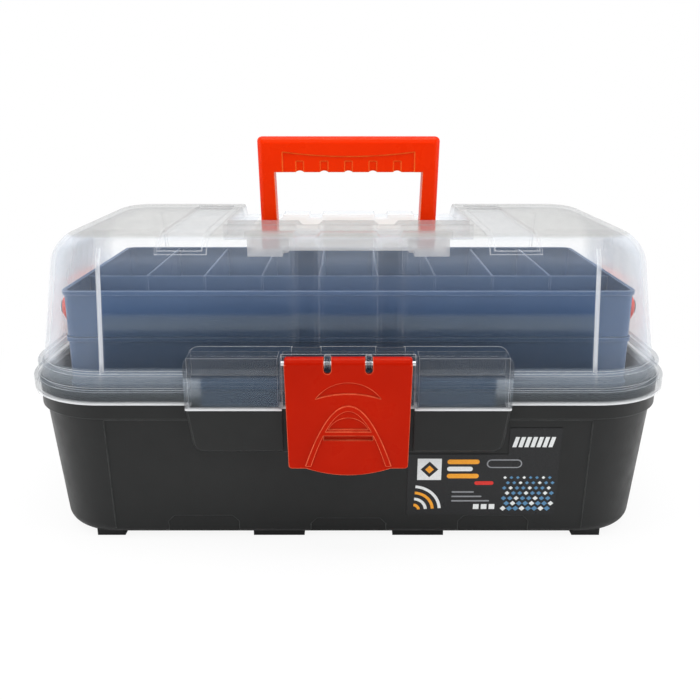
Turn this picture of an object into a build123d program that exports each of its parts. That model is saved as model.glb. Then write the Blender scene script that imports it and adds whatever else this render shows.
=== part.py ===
from build123d import *
from math import atan2, cos, degrees, sin
import os

# Cantilever tackle box: dark tub, clear lid, three stepped trays on swing arms, orange latch and handle.
# +X is to the right seen from the latch side, the latch faces -Y, and the feet stand on Z = 0.
# Pairs of half sizes are (along X, along Y), and Y is measured from the middle of the rim.

# Tub: the rim is the outside of its mouth, and the wall below the rim starts at the ledge
rim_half = (199.4, 103.4)
rim_overhang = 2.6
rim_height = 17.3
tub_ledge_z = 86.0
tub_floor_z = 3.0
tub_draft = (7.8, 5.3)
tub_wall = 3.0
tub_end_round = 22.0
tub_front_round = 8.0
end_round_past = 1.6
bottom_round_past = 0.4
rim_corner = 50.4
panel_depth = 0.8
panel_top_margin = 2.0
relief_depth = 0.8
relief_tops = (12.0, 14.0)
relief_edges = ((-24.0, 24.0), (70.0, 115.0))
relief_slope = 4.0
foot_lengths = (33.0, 18.0)
foot_width = 18.0
foot_inner_x = 45.0
foot_end_inset = 35.0
foot_front_inset = 5.0
foot_bury = 2.2

# Lid
lid_gap = 0.3
lid_wall = 2.4
lip_clearance = 1.2
lip_show = 10.3
step_inset = 3.2
step_height = 9.0
dome_inset = (7.4, 7.5)
dome_draft = (12.6, 13.5)
dome_height = 80.0
dome_shoulder = 25.0
lip_round = 2.0
rib_inset = 1.5
rib_width = 2.0
rib_height = 0.9
rib_top_drop = 9.0

# Grooves pressed over the lid's front edge: two narrow flutes by the middle, two wide shallow ones outside
flute_x = 25.0
flute_half = (9.0, 5.0)
flute_depth = 2.8
flute_low_rise = 3.0
notch_x = 99.6
notch_half = (13.9, 12.4)
notch_depth = 1.8
notch_low_drop = 10.0
notch_back_y = 58.0

# The bay in the lid's top that the handle folds into
bay_side_room = 5.3
bay_front_room = 4.0
bay_back_room = 7.0
bay_depth = 21.5
shelf_width = 15.2
shelf_drop = 10.0
saddle_half_x = 50.0
saddle_rise = 2.5
sill_side_gap = 0.8
sill_half_y = 24.0
sill_height = 4.0

# Lid hinge
hinge_reach = 3.6
hinge_drop = 5.3
hinge_centre_x = 80.0
hinge_length = 40.0
knuckle_radius = 5.0
knuckle_length = 10.0
knuckle_gap = 0.3
hinge_pin_radius = 2.0
running_clearance = 0.05
bracket_drop = 1.0

# Front pads and latch
pad_half_x = 96.0
pad_taper = 4.0
pad_reach = 12.6
pad_rise = 15.0
pad_drop = 17.3
pad_setback = 2.0
pad_corner = 7.0
pad_edge_round = 1.6
pad_wall = 2.2
latch_side_gap = 2.2
latch_bay_depth = 3.6
latch_half_x = 36.7
latch_side_draft = 1.6
latch_tip_half_x = 25.0
latch_corner_round = 2.0
latch_axis_reach = 1.5
latch_axis_drop = 4.0
latch_roll_radius = 4.0
latch_roll_round = 1.5
latch_pin_radius = 1.5
latch_pin_end_gap = 0.3
latch_plate = 2.4
latch_length = 68.2
latch_tip_rise = 4.4
latch_side_depth = 5.0
latch_slot_x = 11.9
latch_slot_width = 4.4
latch_slot_drop = 5.2
latch_post_width = 3.4
latch_post_radius = 3.4
catch_half_x = 15.0
catch_rise = 5.3
catch_height = 5.0
catch_depth = 2.4
hook_gap = 1.5
hook_height = 5.0
hook_undercut = 0.8
emboss = 0.9
crescent_half_x = 19.0
crescent_drop = 20.4
crescent_rise = 10.0
crescent_sag = 3.1
arch_half_x = 25.2
arch_drop = 24.4
arch_low_rise = 6.0
arch_width = 3.2
thumb_drop = 41.6
thumb_half_x = 14.4
thumb_height = 2.4
thumb_slot_height = 3.2
thumb_slot_depth = 1.7
thumb_arc_half_x = 11.6
thumb_arc_rise = 7.3

# Handle
handle_y = -13.0
handle_pivot_rise = 7.5
handle_half_x = 59.5
handle_foot_half_x = 58.0
handle_height = 67.0
handle_bar_height = 22.5
handle_leg_width = 11.0
handle_thickness = 14.0
handle_bar_round = 4.5
handle_bar_end_round = 3.0
handle_pin_radius = 2.0
handle_ear_width = 6.0
handle_ear_radius = 5.5
handle_ear_gap = 0.5
finger_pitch = 15.9
finger_notch_count = 5
finger_notch_radius = 4.3
finger_notch_depth = 1.0
grip_half_x = 43.0
grip_depth = 0.7
grip_drop = 9.6
grip_sag = 2.9
grip_flute_width = 5.0
grip_flute_depth = 0.5

# Trays
tray_front_room = 11.2
tray_lip = 1.0
tray_lip_height = 2.6
tray_height = 29.0
tray_pitch = 29.3
tray_top_drop = 35.5
tray_wall = 1.6
tray_corner = 6.0
tray_gutter = 50.4
tray_divider = 1.3
tray_divider_drop = 1.0
top_cell_count = 9
middle_cell_count = 5
bottom_cell_count = 3

# Swing arms: the top tray's pivots stand this far in front of and above the pivots in the tub
arm_forward = 68.0
arm_rise = 66.0
arm_setback = {"front": 20.4, "rear": 66.4}
arm_top_drop = 14.5
arm_thickness = 2.6
arm_half_width = 6.5
arm_stud_radius = 2.5
arm_head_radius = 4.6
arm_pin_bury = 6.0
arm_boss_least = 1.0
arm_boss_radius = 5.4
tray_arm_gap = 2.8
head_thickness = 1.0
side_gap = 0.4

# Lid links: each joins the lid's side to the back of the top tray's end
link_lid_setback = 65.5
link_lid_drop = 12.0
link_tray_setback = 121.0
link_tray_drop = 14.5
link_arm_gap = 0.7
link_wall_gap = 1.5
link_thickness = 2.2
link_half_width = 5.5
link_stud_radius = 2.0
link_free_radius = 4.3
link_head_radius = 6.2
link_pin_wall_gap = 0.3

# Front label
label_thickness = 0.4
label_edge_inset = 18.0
label_low = 15.0
label_size = (94.0, 43.0)
label_tab = (32.0, 18.0)

# How far a cutting tool reaches past the face that it cuts
cut_past = 1.0


def shrunk(half, amount):
    """Both half sizes, less an amount."""
    return (half[0] - amount, half[1] - amount)


def drawn_in(half, draft):
    """Both half sizes, less a draft of their own each."""
    return (half[0] - draft[0], half[1] - draft[1])


def half_at(z, half_low, half_high, z_low, z_high):
    """The half sizes of a tapered wall at a height."""
    share = (z - z_low) / (z_high - z_low)
    return tuple(low + share * (high - low) for low, high in zip(half_low, half_high))


# Sizes that follow from others: the tub
ledge_half = shrunk(rim_half, rim_overhang)
foot_half = drawn_in(ledge_half, tub_draft)
tub_rim_z = tub_ledge_z + rim_height
corner_start_x = rim_half[0] - rim_corner
mouth_half = shrunk(ledge_half, tub_wall)
foot_spread = (foot_inner_x, foot_half[0] - foot_end_inset)
foot_centre_y = foot_half[1] - foot_front_inset - foot_width / 2

# The lid
lip_half = shrunk(rim_half, -lip_clearance - lid_wall)
lid_low_z = tub_ledge_z + lip_show
lip_top_z = tub_rim_z + lid_gap + lid_wall
step_half = shrunk(lip_half, step_inset)
step_top_z = lip_top_z + step_height
dome_low_half = drawn_in(lip_half, dome_inset)
dome_high_half = drawn_in(dome_low_half, dome_draft)
dome_top_z = step_top_z + dome_height
bay_floor_z = dome_top_z - bay_depth
bay_half_x = max(handle_half_x, handle_foot_half_x) + bay_side_room
bay_front_y = handle_y - handle_thickness / 2 - bay_front_room
bay_back_y = handle_y + handle_height + bay_back_room
shelf_half_x = bay_half_x + shelf_width
sill_half_x = handle_foot_half_x - handle_leg_width - sill_side_gap
shelf_z = dome_top_z - shelf_drop
rib_top_z = dome_top_z - rib_top_drop

# The hinge
hinge_y = rim_half[1] + hinge_reach
hinge_z = tub_rim_z - hinge_drop
lid_knuckle_length = hinge_length - 2 * knuckle_length - 2 * knuckle_gap
tub_knuckle_x = [side * (hinge_centre_x + end * (hinge_length - knuckle_length) / 2)
                 for side in (-1, 1) for end in (-1, 1)]

# The pads and the latch
pad_front_y = -(rim_half[1] + pad_reach)
tub_pad_front_y = pad_front_y + pad_setback
pad_top_z = step_top_z + pad_rise
pad_bottom_z = tub_ledge_z - pad_drop
latch_bay_y = pad_front_y + latch_bay_depth
latch_bay_half_x = latch_half_x + latch_side_gap
latch_low_half_x = latch_half_x - latch_side_draft
latch_axis_y = pad_front_y - latch_axis_reach
latch_axis_z = pad_top_z - latch_axis_drop
latch_front_y = latch_axis_y - latch_roll_radius
latch_tip_z = latch_axis_z - latch_length
latch_corner_z = latch_tip_z + latch_tip_rise
catch_z = (pad_bottom_z + catch_rise, pad_bottom_z + catch_rise + catch_height)
catch_front_y = latch_bay_y - catch_depth
hook_z = (catch_z[0] - hook_gap - hook_height, catch_z[0] - hook_gap)
hook_reach_y = catch_front_y + hook_undercut

# The handle
handle_pivot_z = bay_floor_z + handle_pivot_rise
handle_top_z = handle_pivot_z + handle_height
handle_ear_x = handle_foot_half_x - handle_leg_width - handle_ear_gap - handle_ear_width / 2

# The trays, from the lid and the tub inwards: links, then arms, then trays
tray_top_z = dome_top_z - tray_top_drop
tray_cell_count = {"tray_top": top_cell_count, "tray_middle": middle_cell_count,
                   "tray_bottom": bottom_cell_count}
dome_levels = (dome_low_half, dome_high_half, step_top_z, dome_top_z)
tray_half_y = half_at(tray_top_z, *dome_levels)[1] - lid_wall - tray_front_room
tray_gutter_y = -tray_half_y + tray_gutter
arm_top_z = tray_top_z - arm_top_drop
arm_top_y = {row: -tray_half_y + setback for row, setback in arm_setback.items()}
arm_pivot_z = arm_top_z - arm_rise
link_lid_point = (-tray_half_y + link_lid_setback, tray_top_z - link_lid_drop)
link_tray_point = (-tray_half_y + link_tray_setback, tray_top_z - link_tray_drop)
link_top_z = max(link_lid_point[1], link_tray_point[1]) + link_head_radius
tub_levels = (foot_half, ledge_half, tub_floor_z, tub_ledge_z)
lid_inner_x = half_at(link_top_z, *dome_levels)[0] - lid_wall
tub_inner_x = half_at(arm_pivot_z - arm_half_width, *tub_levels)[0] - tub_wall
link_stack = head_thickness + link_arm_gap + link_thickness + side_gap + head_thickness
stud_end_x = min(lid_inner_x - link_wall_gap - link_stack, tub_inner_x - arm_boss_least)
arm_outer_x = stud_end_x - side_gap
arm_inner_x = arm_outer_x - arm_thickness
tray_half_x = arm_inner_x - tray_arm_gap
link_inner_x = stud_end_x + head_thickness + link_arm_gap
link_outer_x = link_inner_x + link_thickness
link_pin_end_x = half_at(link_lid_point[1] + link_stud_radius, *dome_levels)[0] - lid_wall - link_pin_wall_gap

# The origin is under the middle of the whole box, latch and hinges included
origin_shift_y = -(latch_front_y - emboss + hinge_y + knuckle_radius) / 2


def rounded_section(half, height):
    """One level of a tapered wall: a rectangle whose round corners start at the same X at every level."""
    with BuildSketch(Plane.XY.offset(height)) as section:
        RectangleRounded(2 * half[0], 2 * half[1], half[0] - corner_start_x)
    return section.sketch


def tapered_block(half_low, half_high, z_low, z_high):
    """A closed block lofted between two rounded rectangles."""
    with BuildPart() as block:
        loft([rounded_section(half_low, z_low), rounded_section(half_high, z_high)], ruled=True)
    return block.part


def tub_block(inset):
    """The tub's outside, or its hollow where inset is the wall: rounded below, and more so at the ends."""
    bottom_z = tub_floor_z + inset
    round_centre = (foot_half[0] - tub_end_round + end_round_past,
                    tub_floor_z + tub_end_round - bottom_round_past)
    with BuildPart() as block:
        add(tapered_block(shrunk(foot_half, inset), shrunk(ledge_half, inset), bottom_z, tub_ledge_z))
        fillet(block.edges().group_by(Axis.Z)[0], tub_front_round - inset)
        for side in sides:
            with BuildSketch(Plane.XZ):
                with Locations((side * round_centre[0], bottom_z - cut_past)):
                    Rectangle(tub_end_round + rim_overhang, round_centre[1] - bottom_z + cut_past,
                              align=(Align.MIN if side > 0 else Align.MAX, Align.MIN))
                with Locations((side * round_centre[0], round_centre[1])):
                    Circle(tub_end_round - inset, mode=Mode.SUBTRACT)
            extrude(amount=rim_half[1], both=True, mode=Mode.SUBTRACT)
    return block.part


def box_between(low, high):
    """A box between two opposite corners."""
    centre = tuple((a + b) / 2 for a, b in zip(low, high))
    with BuildPart() as block:
        with Locations(centre):
            Box(*[b - a for a, b in zip(low, high)])
    return block.part


def rounded_band(half, low_z, high_z):
    """A low band round the lid with a rounded upper edge."""
    with BuildPart() as band:
        with BuildSketch(Plane.XY.offset(low_z)):
            RectangleRounded(2 * half[0], 2 * half[1], half[0] - corner_start_x)
        extrude(amount=high_z - low_z)
        fillet(band.edges().group_by(Axis.Z)[-1], lip_round)
    return band.part


def bay_cuts(margin):
    """The boxes that make the handle's bay in the lid's top, grown by a margin."""
    back_y = lip_half[1] + cut_past
    top_z = dome_top_z + cut_past
    boxes = [((-bay_half_x, bay_front_y, bay_floor_z), (-sill_half_x, bay_back_y, top_z)),
             ((sill_half_x, bay_front_y, bay_floor_z), (bay_half_x, bay_back_y, top_z)),
             ((-sill_half_x, bay_front_y, bay_floor_z + sill_height), (sill_half_x, sill_half_y, top_z)),
             ((-sill_half_x, sill_half_y, bay_floor_z), (sill_half_x, bay_back_y, top_z)),
             ((-shelf_half_x, bay_front_y, shelf_z), (shelf_half_x, bay_back_y, top_z)),
             ((-saddle_half_x, bay_front_y, shelf_z + saddle_rise), (saddle_half_x, back_y, top_z)),
             ((saddle_half_x, bay_front_y, shelf_z), (shelf_half_x, back_y, top_z)),
             ((-shelf_half_x, bay_front_y, shelf_z), (-saddle_half_x, back_y, top_z))]
    boxes += [((side * flute_x - flute_half[1], bay_front_y, shelf_z),
               (side * flute_x + flute_half[1], back_y, top_z)) for side in sides]
    return [box_between([value - margin for value in low], [value + margin for value in high])
            for low, high in boxes]


def front_groove(centre_x, halves, depth, low_z, end_y, wall):
    """A groove up the lid's front wall and back over its top, or, with a wall, the material under it."""
    start_z = min(low_z, dome_top_z - dome_shoulder)
    start_y = -half_at(start_z, *dome_levels)[1]
    with BuildPart() as groove:
        with BuildLine(Plane.YZ.offset(centre_x)) as route:
            FilletPolyline((start_y, start_z), (-dome_high_half[1], dome_top_z), (end_y, dome_top_z),
                           radius=dome_shoulder)
        start = route.wire().position_at(0)
        with BuildSketch(Plane(origin=start, x_dir=(1, 0, 0), z_dir=route.wire().tangent_at(0))):
            with BuildLine():
                surface = lid_wall / 2 if wall else -cut_past
                Polyline((-halves[0] - wall, surface), (halves[0] + wall, surface),
                         (halves[1] + wall, depth + wall), (-halves[1] - wall, depth + wall), close=True)
            make_face()
        sweep(path=route.wire())
        if low_z > start_z:
            reach = halves[0] + wall + cut_past
            add(box_between((centre_x - reach, -lip_half[1], lid_low_z), (centre_x + reach, 0, low_z - wall)),
                mode=Mode.SUBTRACT)
    return groove.part


def side_bar(points, half_width, inner_x, thickness, hole_radii):
    """A flat bar with round ends and a hole at each of its points, on the right side of the box."""
    start = Vector(*points[0])
    end = Vector(*points[-1])
    length = (end - start).length
    turn = degrees(atan2(end.Y - start.Y, end.X - start.X))
    middle = (start + end) * 0.5
    with BuildPart() as bar:
        with BuildSketch(Plane.YZ.offset(inner_x)):
            with Locations(Location((middle.X, middle.Y), turn)):
                SlotCenterToCenter(length, 2 * half_width)
            for point, hole_radius in zip(points, hole_radii):
                with Locations(point):
                    Circle(hole_radius, mode=Mode.SUBTRACT)
        extrude(amount=thickness)
    return bar.part


def side_stud(point, radius, x_start, x_end):
    """A round stud along X on the right side of the box."""
    with BuildPart() as stud:
        with BuildSketch(Plane.YZ.offset(x_start)):
            with Locations(point):
                Circle(radius)
        extrude(amount=x_end - x_start)
    return stud.part


def write(part, name):
    """Write one sub-part under its name, in the frame whose origin is under the middle of the closed box."""
    placed = part.moved(Location((0, origin_shift_y, 0)))
    placed.label = name
    export_step(placed, f"parts/{name}.step")


def write_pair(part, name):
    """Write a right-hand piece and its mirror image."""
    write(part, f"{name}_right")
    write(mirror(part, about=Plane.YZ), f"{name}_left")


def arm_point(row, drop):
    """The arm's axis in Y and Z, a drop below its top pivot."""
    return (arm_top_y[row] + arm_forward / arm_rise * drop, arm_top_z - drop)


os.makedirs("parts", exist_ok=True)
sides = (-1, 1)
arm_pivots = {row: arm_point(row, arm_rise) for row in arm_top_y}
tray_drops = {name: level * tray_pitch for level, name in enumerate(tray_cell_count)}

# Tub
wall_lean = atan2(ledge_half[1] - foot_half[1], tub_ledge_z - tub_floor_z)
wall_height = (tub_ledge_z - tub_floor_z) / cos(wall_lean)
front_wall = Plane(origin=(0, -foot_half[1], tub_floor_z), x_dir=(1, 0, 0),
                   z_dir=(0, -cos(wall_lean), -sin(wall_lean)))
back_wall = Plane(origin=(0, foot_half[1], tub_floor_z), x_dir=(-1, 0, 0),
                  z_dir=(0, cos(wall_lean), -sin(wall_lean)))

with BuildPart() as tub:
    add(tub_block(0))
    for wall in (front_wall, back_wall):
        # The shallow panel between the corners
        with BuildSketch(wall):
            with Locations((0, -cut_past)):
                Rectangle(2 * corner_start_x, wall_height - panel_top_margin + cut_past,
                          align=(Align.CENTER, Align.MIN))
        extrude(amount=-panel_depth, mode=Mode.SUBTRACT)
        # The reliefs along the bottom, with sloping ends
        with BuildSketch(wall.offset(-panel_depth)):
            for top, (start_x, end_x) in zip(relief_tops, relief_edges):
                for side in sides:
                    with BuildLine():
                        Polyline((side * start_x, -cut_past), (side * start_x, top - relief_slope),
                                 (side * (start_x + relief_slope), top), (side * (end_x - relief_slope), top),
                                 (side * end_x, top - relief_slope), (side * end_x, -cut_past), close=True)
                    make_face()
        extrude(amount=-relief_depth, mode=Mode.SUBTRACT)
    # The rim that the lid closes over
    with BuildSketch(Plane.XY.offset(tub_ledge_z)):
        RectangleRounded(2 * rim_half[0], 2 * rim_half[1], rim_half[0] - corner_start_x)
    extrude(amount=rim_height)
    # The pad behind the latch
    with BuildSketch(Plane.XZ.offset(-tub_pad_front_y)):
        with BuildLine():
            FilletPolyline((-pad_half_x, lid_low_z - lid_gap), (-pad_half_x + pad_taper, pad_bottom_z),
                           (pad_half_x - pad_taper, pad_bottom_z), (pad_half_x, lid_low_z - lid_gap),
                           radius=pad_corner)
            Line((pad_half_x, lid_low_z - lid_gap), (-pad_half_x, lid_low_z - lid_gap))
        make_face()
    extrude(amount=tub_pad_front_y + foot_half[1])
    pad_outline = tub.faces().sort_by(Axis.Y)[0].edges().sort_by(Axis.Z)[:-1]
    chamfer(pad_outline, pad_edge_round)
    # Feet
    for centre_x, length in zip(foot_spread, foot_lengths):
        with GridLocations(2 * centre_x, 2 * foot_centre_y, 2, 2):
            Box(length, foot_width, tub_floor_z + foot_bury, align=(Align.CENTER, Align.CENTER, Align.MIN))
    # The hollow, through to the mouth
    add(tub_block(tub_wall), mode=Mode.SUBTRACT)
    with BuildSketch(Plane.XY.offset(tub_ledge_z)):
        RectangleRounded(2 * mouth_half[0], 2 * mouth_half[1], mouth_half[0] - corner_start_x)
    extrude(amount=rim_height, mode=Mode.SUBTRACT)
    # The pad's own hollow, open to the inside
    pad_hollow_x = pad_half_x - pad_taper - pad_wall
    add(box_between((-pad_hollow_x, latch_bay_y + pad_wall, pad_bottom_z + pad_wall),
                    (pad_hollow_x, -foot_half[1] + tub_wall, lid_low_z - lid_gap - pad_wall)),
        mode=Mode.SUBTRACT)
    # The latch's bay in the pad, and the catch that the latch snaps under
    add(box_between((-latch_bay_half_x, tub_pad_front_y - cut_past, pad_bottom_z - cut_past),
                    (latch_bay_half_x, latch_bay_y, tub_rim_z + cut_past)), mode=Mode.SUBTRACT)
    add(box_between((-catch_half_x, catch_front_y, catch_z[0]), (catch_half_x, latch_bay_y, catch_z[1])))
    # Hinge knuckles, two to each hinge, with room between them for the lid's
    for knuckle_x in tub_knuckle_x:
        with Locations((knuckle_x, hinge_y, hinge_z)):
            Cylinder(knuckle_radius, knuckle_length, rotation=(0, 90, 0))
        add(box_between((knuckle_x - knuckle_length / 2, rim_half[1], tub_ledge_z),
                        (knuckle_x + knuckle_length / 2, hinge_y, lid_low_z - bracket_drop)))
    with Locations(*[(side * hinge_centre_x, hinge_y, hinge_z) for side in sides]):
        Cylinder(knuckle_radius + knuckle_gap, lid_knuckle_length + 2 * knuckle_gap, rotation=(0, 90, 0),
                 mode=Mode.SUBTRACT)
        Cylinder(hinge_pin_radius, hinge_length, rotation=(0, 90, 0), mode=Mode.SUBTRACT)
    # Bosses that the swing arms turn on
    for side in sides:
        for pivot in arm_pivots.values():
            wall_x = half_at(pivot[1], *tub_levels)[0] - tub_wall / 2
            with BuildSketch(Plane.YZ.offset(side * stud_end_x)):
                with Locations(pivot):
                    Circle(arm_boss_radius)
            extrude(amount=side * (wall_x - stud_end_x))
            with BuildSketch(Plane.YZ.offset(side * stud_end_x)):
                with Locations(pivot):
                    Circle(arm_stud_radius)
            extrude(amount=side * arm_pin_bury, mode=Mode.SUBTRACT)
write(tub.part, "tub")

# Lid
with BuildPart() as dome_outside:
    add(tapered_block(dome_low_half, dome_high_half, step_top_z, dome_top_z))
    fillet(dome_outside.edges().group_by(Axis.Z)[-1], dome_shoulder)
with BuildPart() as dome_inside:
    add(tapered_block(shrunk(dome_low_half, lid_wall), shrunk(dome_high_half, lid_wall), step_top_z,
                      dome_top_z - lid_wall))
    fillet(dome_inside.edges().group_by(Axis.Z)[-1], dome_shoulder - lid_wall)
    # The hollow stays clear of the handle's bay
    for block in bay_cuts(lid_wall):
        add(block, mode=Mode.SUBTRACT)

# Each groove has its half widths at the top and the floor, its depth, and where it ends below and behind
flute = (flute_half, flute_depth, step_top_z + flute_low_rise, bay_front_y)
notch = (notch_half, notch_depth, dome_top_z - notch_low_drop, notch_back_y)
grooves = [(side * x, *shape) for x, shape in ((flute_x, flute), (notch_x, notch)) for side in sides]

with BuildPart() as ribs:
    add(tapered_block(shrunk(dome_low_half, -rib_height), shrunk(dome_high_half, -rib_height), step_top_z,
                      dome_top_z))
    fillet(ribs.edges().group_by(Axis.Z)[-1], dome_shoulder)
    rib_near_x = corner_start_x - rib_inset - rib_width / 2
    for low_x, high_x in ((-lip_half[0], -rib_near_x - rib_width), (-rib_near_x, rib_near_x),
                          (rib_near_x + rib_width, lip_half[0])):
        add(box_between((low_x, -lip_half[1], step_top_z - cut_past), (high_x, lip_half[1], dome_top_z)),
            mode=Mode.SUBTRACT)
    add(box_between((-lip_half[0], -lip_half[1], rib_top_z), (lip_half[0], lip_half[1], dome_top_z)),
        mode=Mode.SUBTRACT)

with BuildPart() as lid:
    add(dome_outside.part)
    # The lip and the step above it
    add(rounded_band(lip_half, lid_low_z, lip_top_z))
    add(rounded_band(step_half, lip_top_z, step_top_z))
    # Ribs up the front and the back, where the corners start
    add(ribs.part)
    # The pad in front
    with BuildSketch(Plane.XZ.offset(-pad_front_y)):
        with Locations((0, (lid_low_z + pad_top_z) / 2)):
            RectangleRounded(2 * pad_half_x, pad_top_z - lid_low_z, pad_corner)
        with Locations((0, lid_low_z + pad_corner / 2)):
            Rectangle(2 * pad_half_x, pad_corner)
    extrude(amount=pad_front_y + dome_high_half[1])
    lid_pad_outline = lid.faces().sort_by(Axis.Y)[0].edges().sort_by(Axis.Z)[1:]
    fillet(lid_pad_outline, pad_edge_round)
    # The bay that the handle folds into
    for block in bay_cuts(0):
        add(block, mode=Mode.SUBTRACT)
    # The hollow inside, from the top down to the lip
    add(dome_inside.part, mode=Mode.SUBTRACT)
    for half, low_z, high_z in ((dome_low_half, step_top_z - lid_wall, step_top_z),
                                (step_half, lip_top_z - lid_wall, step_top_z - lid_wall),
                                (lip_half, lid_low_z, lip_top_z - lid_wall)):
        inner = shrunk(half, lid_wall)
        with BuildSketch(Plane.XY.offset(low_z)):
            RectangleRounded(2 * inner[0], 2 * inner[1], inner[0] - corner_start_x)
        extrude(amount=high_z - low_z, mode=Mode.SUBTRACT)
    # The grooves over the front edge, each with a wall under it
    for groove in grooves:
        add(front_groove(*groove, lid_wall))
    for groove in grooves:
        add(front_groove(*groove, 0), mode=Mode.SUBTRACT)
    # The pad's own hollow, open below, and the latch's bay in front of it
    hollow_back_y = -dome_low_half[1]
    pad_roof_z = pad_top_z - pad_wall
    for side in sides:
        near_x, far_x = sorted((side * (latch_bay_half_x + pad_wall), side * (pad_half_x - pad_wall)))
        add(box_between((near_x, pad_front_y + pad_wall, lid_low_z), (far_x, hollow_back_y, pad_roof_z)),
            mode=Mode.SUBTRACT)
    add(box_between((-latch_bay_half_x, latch_bay_y + pad_wall, lid_low_z),
                    (latch_bay_half_x, hollow_back_y, pad_roof_z)), mode=Mode.SUBTRACT)
    add(box_between((-latch_bay_half_x, pad_front_y - cut_past, lid_low_z - cut_past),
                    (latch_bay_half_x, latch_bay_y, pad_top_z + cut_past)), mode=Mode.SUBTRACT)
    # The two posts that hold the latch's pin
    for side in sides:
        with BuildSketch(Plane.YZ.offset(side * latch_slot_x - latch_post_width / 2)):
            with Locations((latch_axis_y, latch_axis_z)):
                Circle(latch_post_radius)
                Rectangle(latch_bay_y + pad_wall / 2 - latch_axis_y, 2 * latch_post_radius,
                          align=(Align.MIN, Align.CENTER))
                Circle(latch_pin_radius + running_clearance, mode=Mode.SUBTRACT)
        extrude(amount=latch_post_width)
    # Ears in the bay that hold the handle's pins
    for side in sides:
        with BuildSketch(Plane.YZ.offset(side * handle_ear_x - handle_ear_width / 2)):
            with Locations((handle_y, handle_pivot_z)):
                Circle(handle_ear_radius)
                Rectangle(2 * handle_ear_radius, handle_pivot_z - bay_floor_z + lid_wall / 2,
                          align=(Align.CENTER, Align.MAX))
                Circle(handle_pin_radius + running_clearance, mode=Mode.SUBTRACT)
        extrude(amount=handle_ear_width)
    # Hinge knuckles, and notches in the lip for the tub's
    with Locations(*[(x, hinge_y, hinge_z) for x in tub_knuckle_x]):
        Cylinder(knuckle_radius + 2 * knuckle_gap, knuckle_length + 2 * knuckle_gap, rotation=(0, 90, 0),
                 mode=Mode.SUBTRACT)
    for side in sides:
        with Locations((side * hinge_centre_x, hinge_y, hinge_z)):
            Cylinder(knuckle_radius, lid_knuckle_length, rotation=(0, 90, 0))
        leaf_centre = (side * hinge_centre_x, hinge_y - lid_wall, lid_low_z)
        with Locations(leaf_centre):
            Box(lid_knuckle_length, lid_wall + knuckle_radius / 2, lip_top_z - lid_low_z,
                align=(Align.CENTER, Align.MIN, Align.MIN))
        with Locations((side * hinge_centre_x, hinge_y, hinge_z)):
            Cylinder(hinge_pin_radius + running_clearance, hinge_length, rotation=(0, 90, 0),
                     mode=Mode.SUBTRACT)
    # Bosses on the inside of the ends for the links' pins
    for side in sides:
        wall_x = half_at(link_lid_point[1], *dome_levels)[0] - lid_wall / 2
        with BuildSketch(Plane.YZ.offset(side * (link_outer_x + side_gap))):
            with Locations(link_lid_point):
                Circle(link_half_width)
                Circle(link_stud_radius, mode=Mode.SUBTRACT)
        extrude(amount=side * (wall_x - link_outer_x - side_gap))
write(lid.part, "lid")

# Hinge pins
with BuildPart() as hinge_pin:
    with Locations((hinge_centre_x, hinge_y, hinge_z)):
        Cylinder(hinge_pin_radius, hinge_length, rotation=(0, 90, 0))
write_pair(hinge_pin.part, "hinge_pin")

# Handle
bar_low_z = handle_top_z - handle_bar_height
finger_notches = GridLocations(finger_pitch, 1, finger_notch_count, 1).locations
with BuildPart() as handle:
    with BuildSketch(Plane.XZ.offset(-handle_y - handle_thickness / 2)):
        with BuildLine():
            Polyline((0, handle_top_z), (handle_half_x, handle_top_z), (handle_foot_half_x, handle_pivot_z),
                     (handle_foot_half_x - handle_leg_width, handle_pivot_z),
                     (handle_half_x - handle_leg_width, bar_low_z), (0, bar_low_z))
            mirror(about=Plane.YZ)
        make_face()
    extrude(amount=handle_thickness)
    bar_ends = handle.edges().filter_by(Axis.Y).group_by(Axis.Z)[-1]
    fillet(bar_ends, handle_bar_end_round)
    bar_top = handle.edges().filter_by(Axis.X).group_by(Axis.Z)[-1]
    fillet(bar_top, handle_bar_round)
    # Rounded feet about the pivot
    for side in sides:
        with Locations((side * (handle_foot_half_x - handle_leg_width / 2), handle_y, handle_pivot_z)):
            Cylinder(handle_thickness / 2, handle_leg_width, rotation=(0, 90, 0))
    # Finger notches along the grip's underside
    with BuildSketch(Plane.XZ.offset(-handle_y - handle_thickness / 2)):
        with Locations(*[(place.position.X, bar_low_z - finger_notch_radius + finger_notch_depth)
                         for place in finger_notches]):
            Circle(finger_notch_radius)
    extrude(amount=handle_thickness, mode=Mode.SUBTRACT)
    # The grip's hollowed face, front and back, with a flute up from each notch
    grip_top_z = handle_top_z - grip_drop
    for face_y, inward in ((handle_y - handle_thickness / 2, -1), (handle_y + handle_thickness / 2, 1)):
        with BuildSketch(Plane.XZ.offset(-face_y)):
            with BuildLine():
                ThreePointArc((-grip_half_x, grip_top_z), (0, grip_top_z - grip_sag),
                              (grip_half_x, grip_top_z))
                Polyline((grip_half_x, grip_top_z), (grip_half_x, bar_low_z - cut_past),
                         (-grip_half_x, bar_low_z - cut_past), (-grip_half_x, grip_top_z))
            make_face()
        extrude(amount=inward * grip_depth, mode=Mode.SUBTRACT)
        with BuildSketch(Plane.XZ.offset(-face_y)):
            with Locations(*[(place.position.X, bar_low_z) for place in finger_notches]):
                Rectangle(grip_flute_width, handle_bar_height - grip_drop - 2 * grip_sag,
                          align=(Align.CENTER, Align.MIN))
        extrude(amount=inward * (grip_depth + grip_flute_depth), mode=Mode.SUBTRACT)
    with Locations((0, handle_y, handle_pivot_z)):
        Cylinder(handle_pin_radius, 2 * (handle_foot_half_x + cut_past), rotation=(0, 90, 0),
                 mode=Mode.SUBTRACT)
write(handle.part, "handle")

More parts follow.
